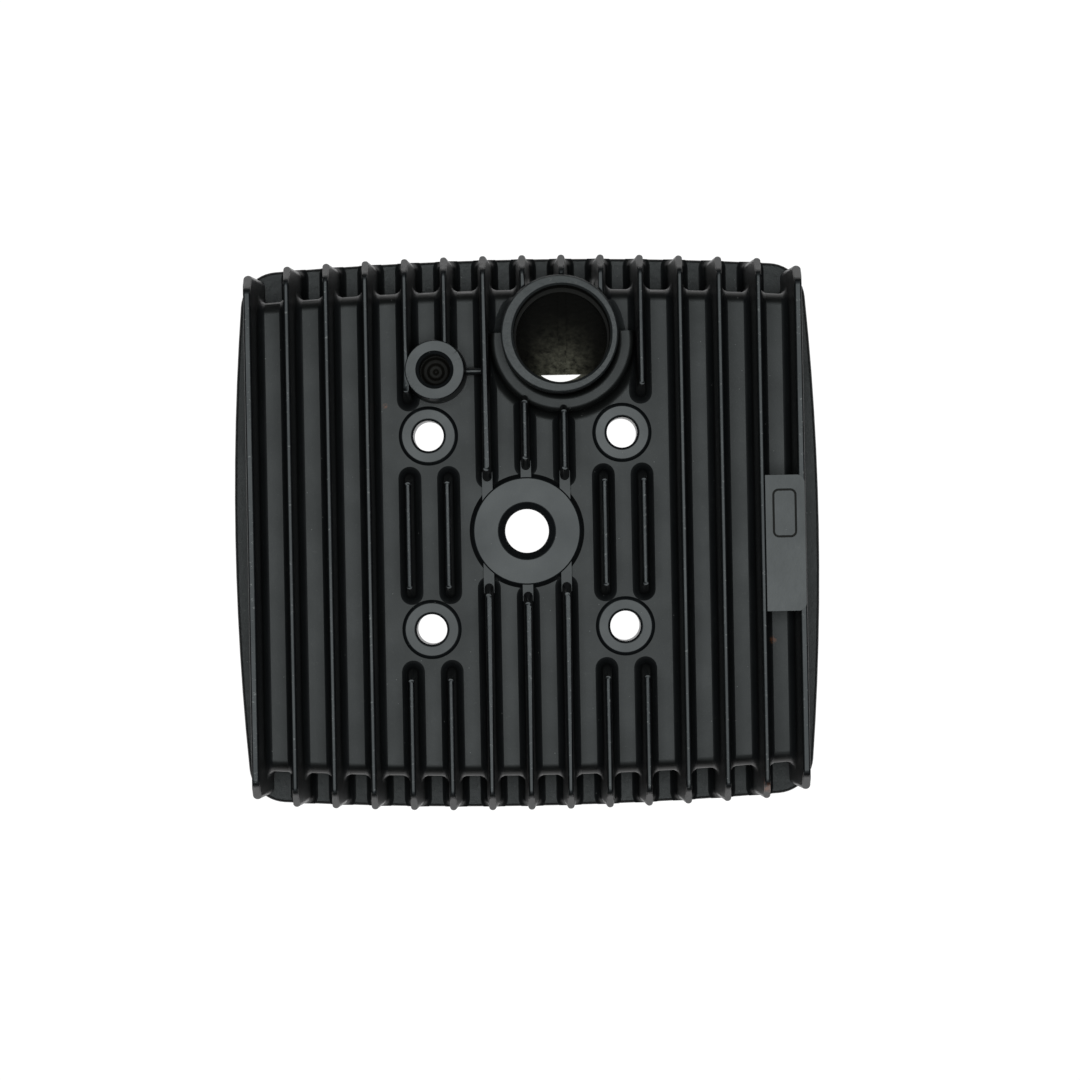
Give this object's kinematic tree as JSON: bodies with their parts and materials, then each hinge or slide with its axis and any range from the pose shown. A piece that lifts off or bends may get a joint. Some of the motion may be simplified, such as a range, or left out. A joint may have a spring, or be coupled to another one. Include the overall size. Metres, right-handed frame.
{
  "type": "air-cooled cylinder head",
  "caption": "Air-cooled two-stroke cylinder head in black painted cast aluminium, with upright parallel fins, a central spark plug seat and a round mounting collar.",
  "frame": {"origin": "centre of the four stud holes, on the gasket face", "axes": "+Z along the spark plug hole, out of the finned side. +Y to the side with the mount collar. +X to the side with the name pad, across the fins. The fins run along Y."},
  "size_m": [0.1725, 0.1615, 0.057],
  "materials": {
    "cast_paint": "black semi-gloss paint on a cast surface",
    "fin_paint": "black semi-gloss paint on cast fins",
    "machined": "bare, turned gasket face and combustion chamber"
  },
  "bodies": {
    "root": {"brim_plate": "cast_paint", "deck_shell": "cast_paint", "chamber_body": "machined", "plug_boss": "cast_paint", "mount_collar": "cast_paint", "collar_ramp": "cast_paint", "collar_shroud": "cast_paint", "vent_boss": "cast_paint", "name_pad": "cast_paint", "stud_post_1": "cast_paint", "stud_post_2": "cast_paint", "stud_post_3": "cast_paint", "stud_post_4": "cast_paint", "fin_01": "fin_paint", "fin_02": "fin_paint", "fin_03": "fin_paint", "fin_04": "fin_paint", "fin_05": "fin_paint", "fin_06": "fin_paint", "fin_07": "fin_paint", "fin_08": "fin_paint", "fin_09": "fin_paint", "fin_10": "fin_paint", "fin_11": "fin_paint", "fin_12": "fin_paint", "fin_13": "fin_paint", "fin_14": "fin_paint", "fin_15": "fin_paint"}
  },
  "joints": []
}
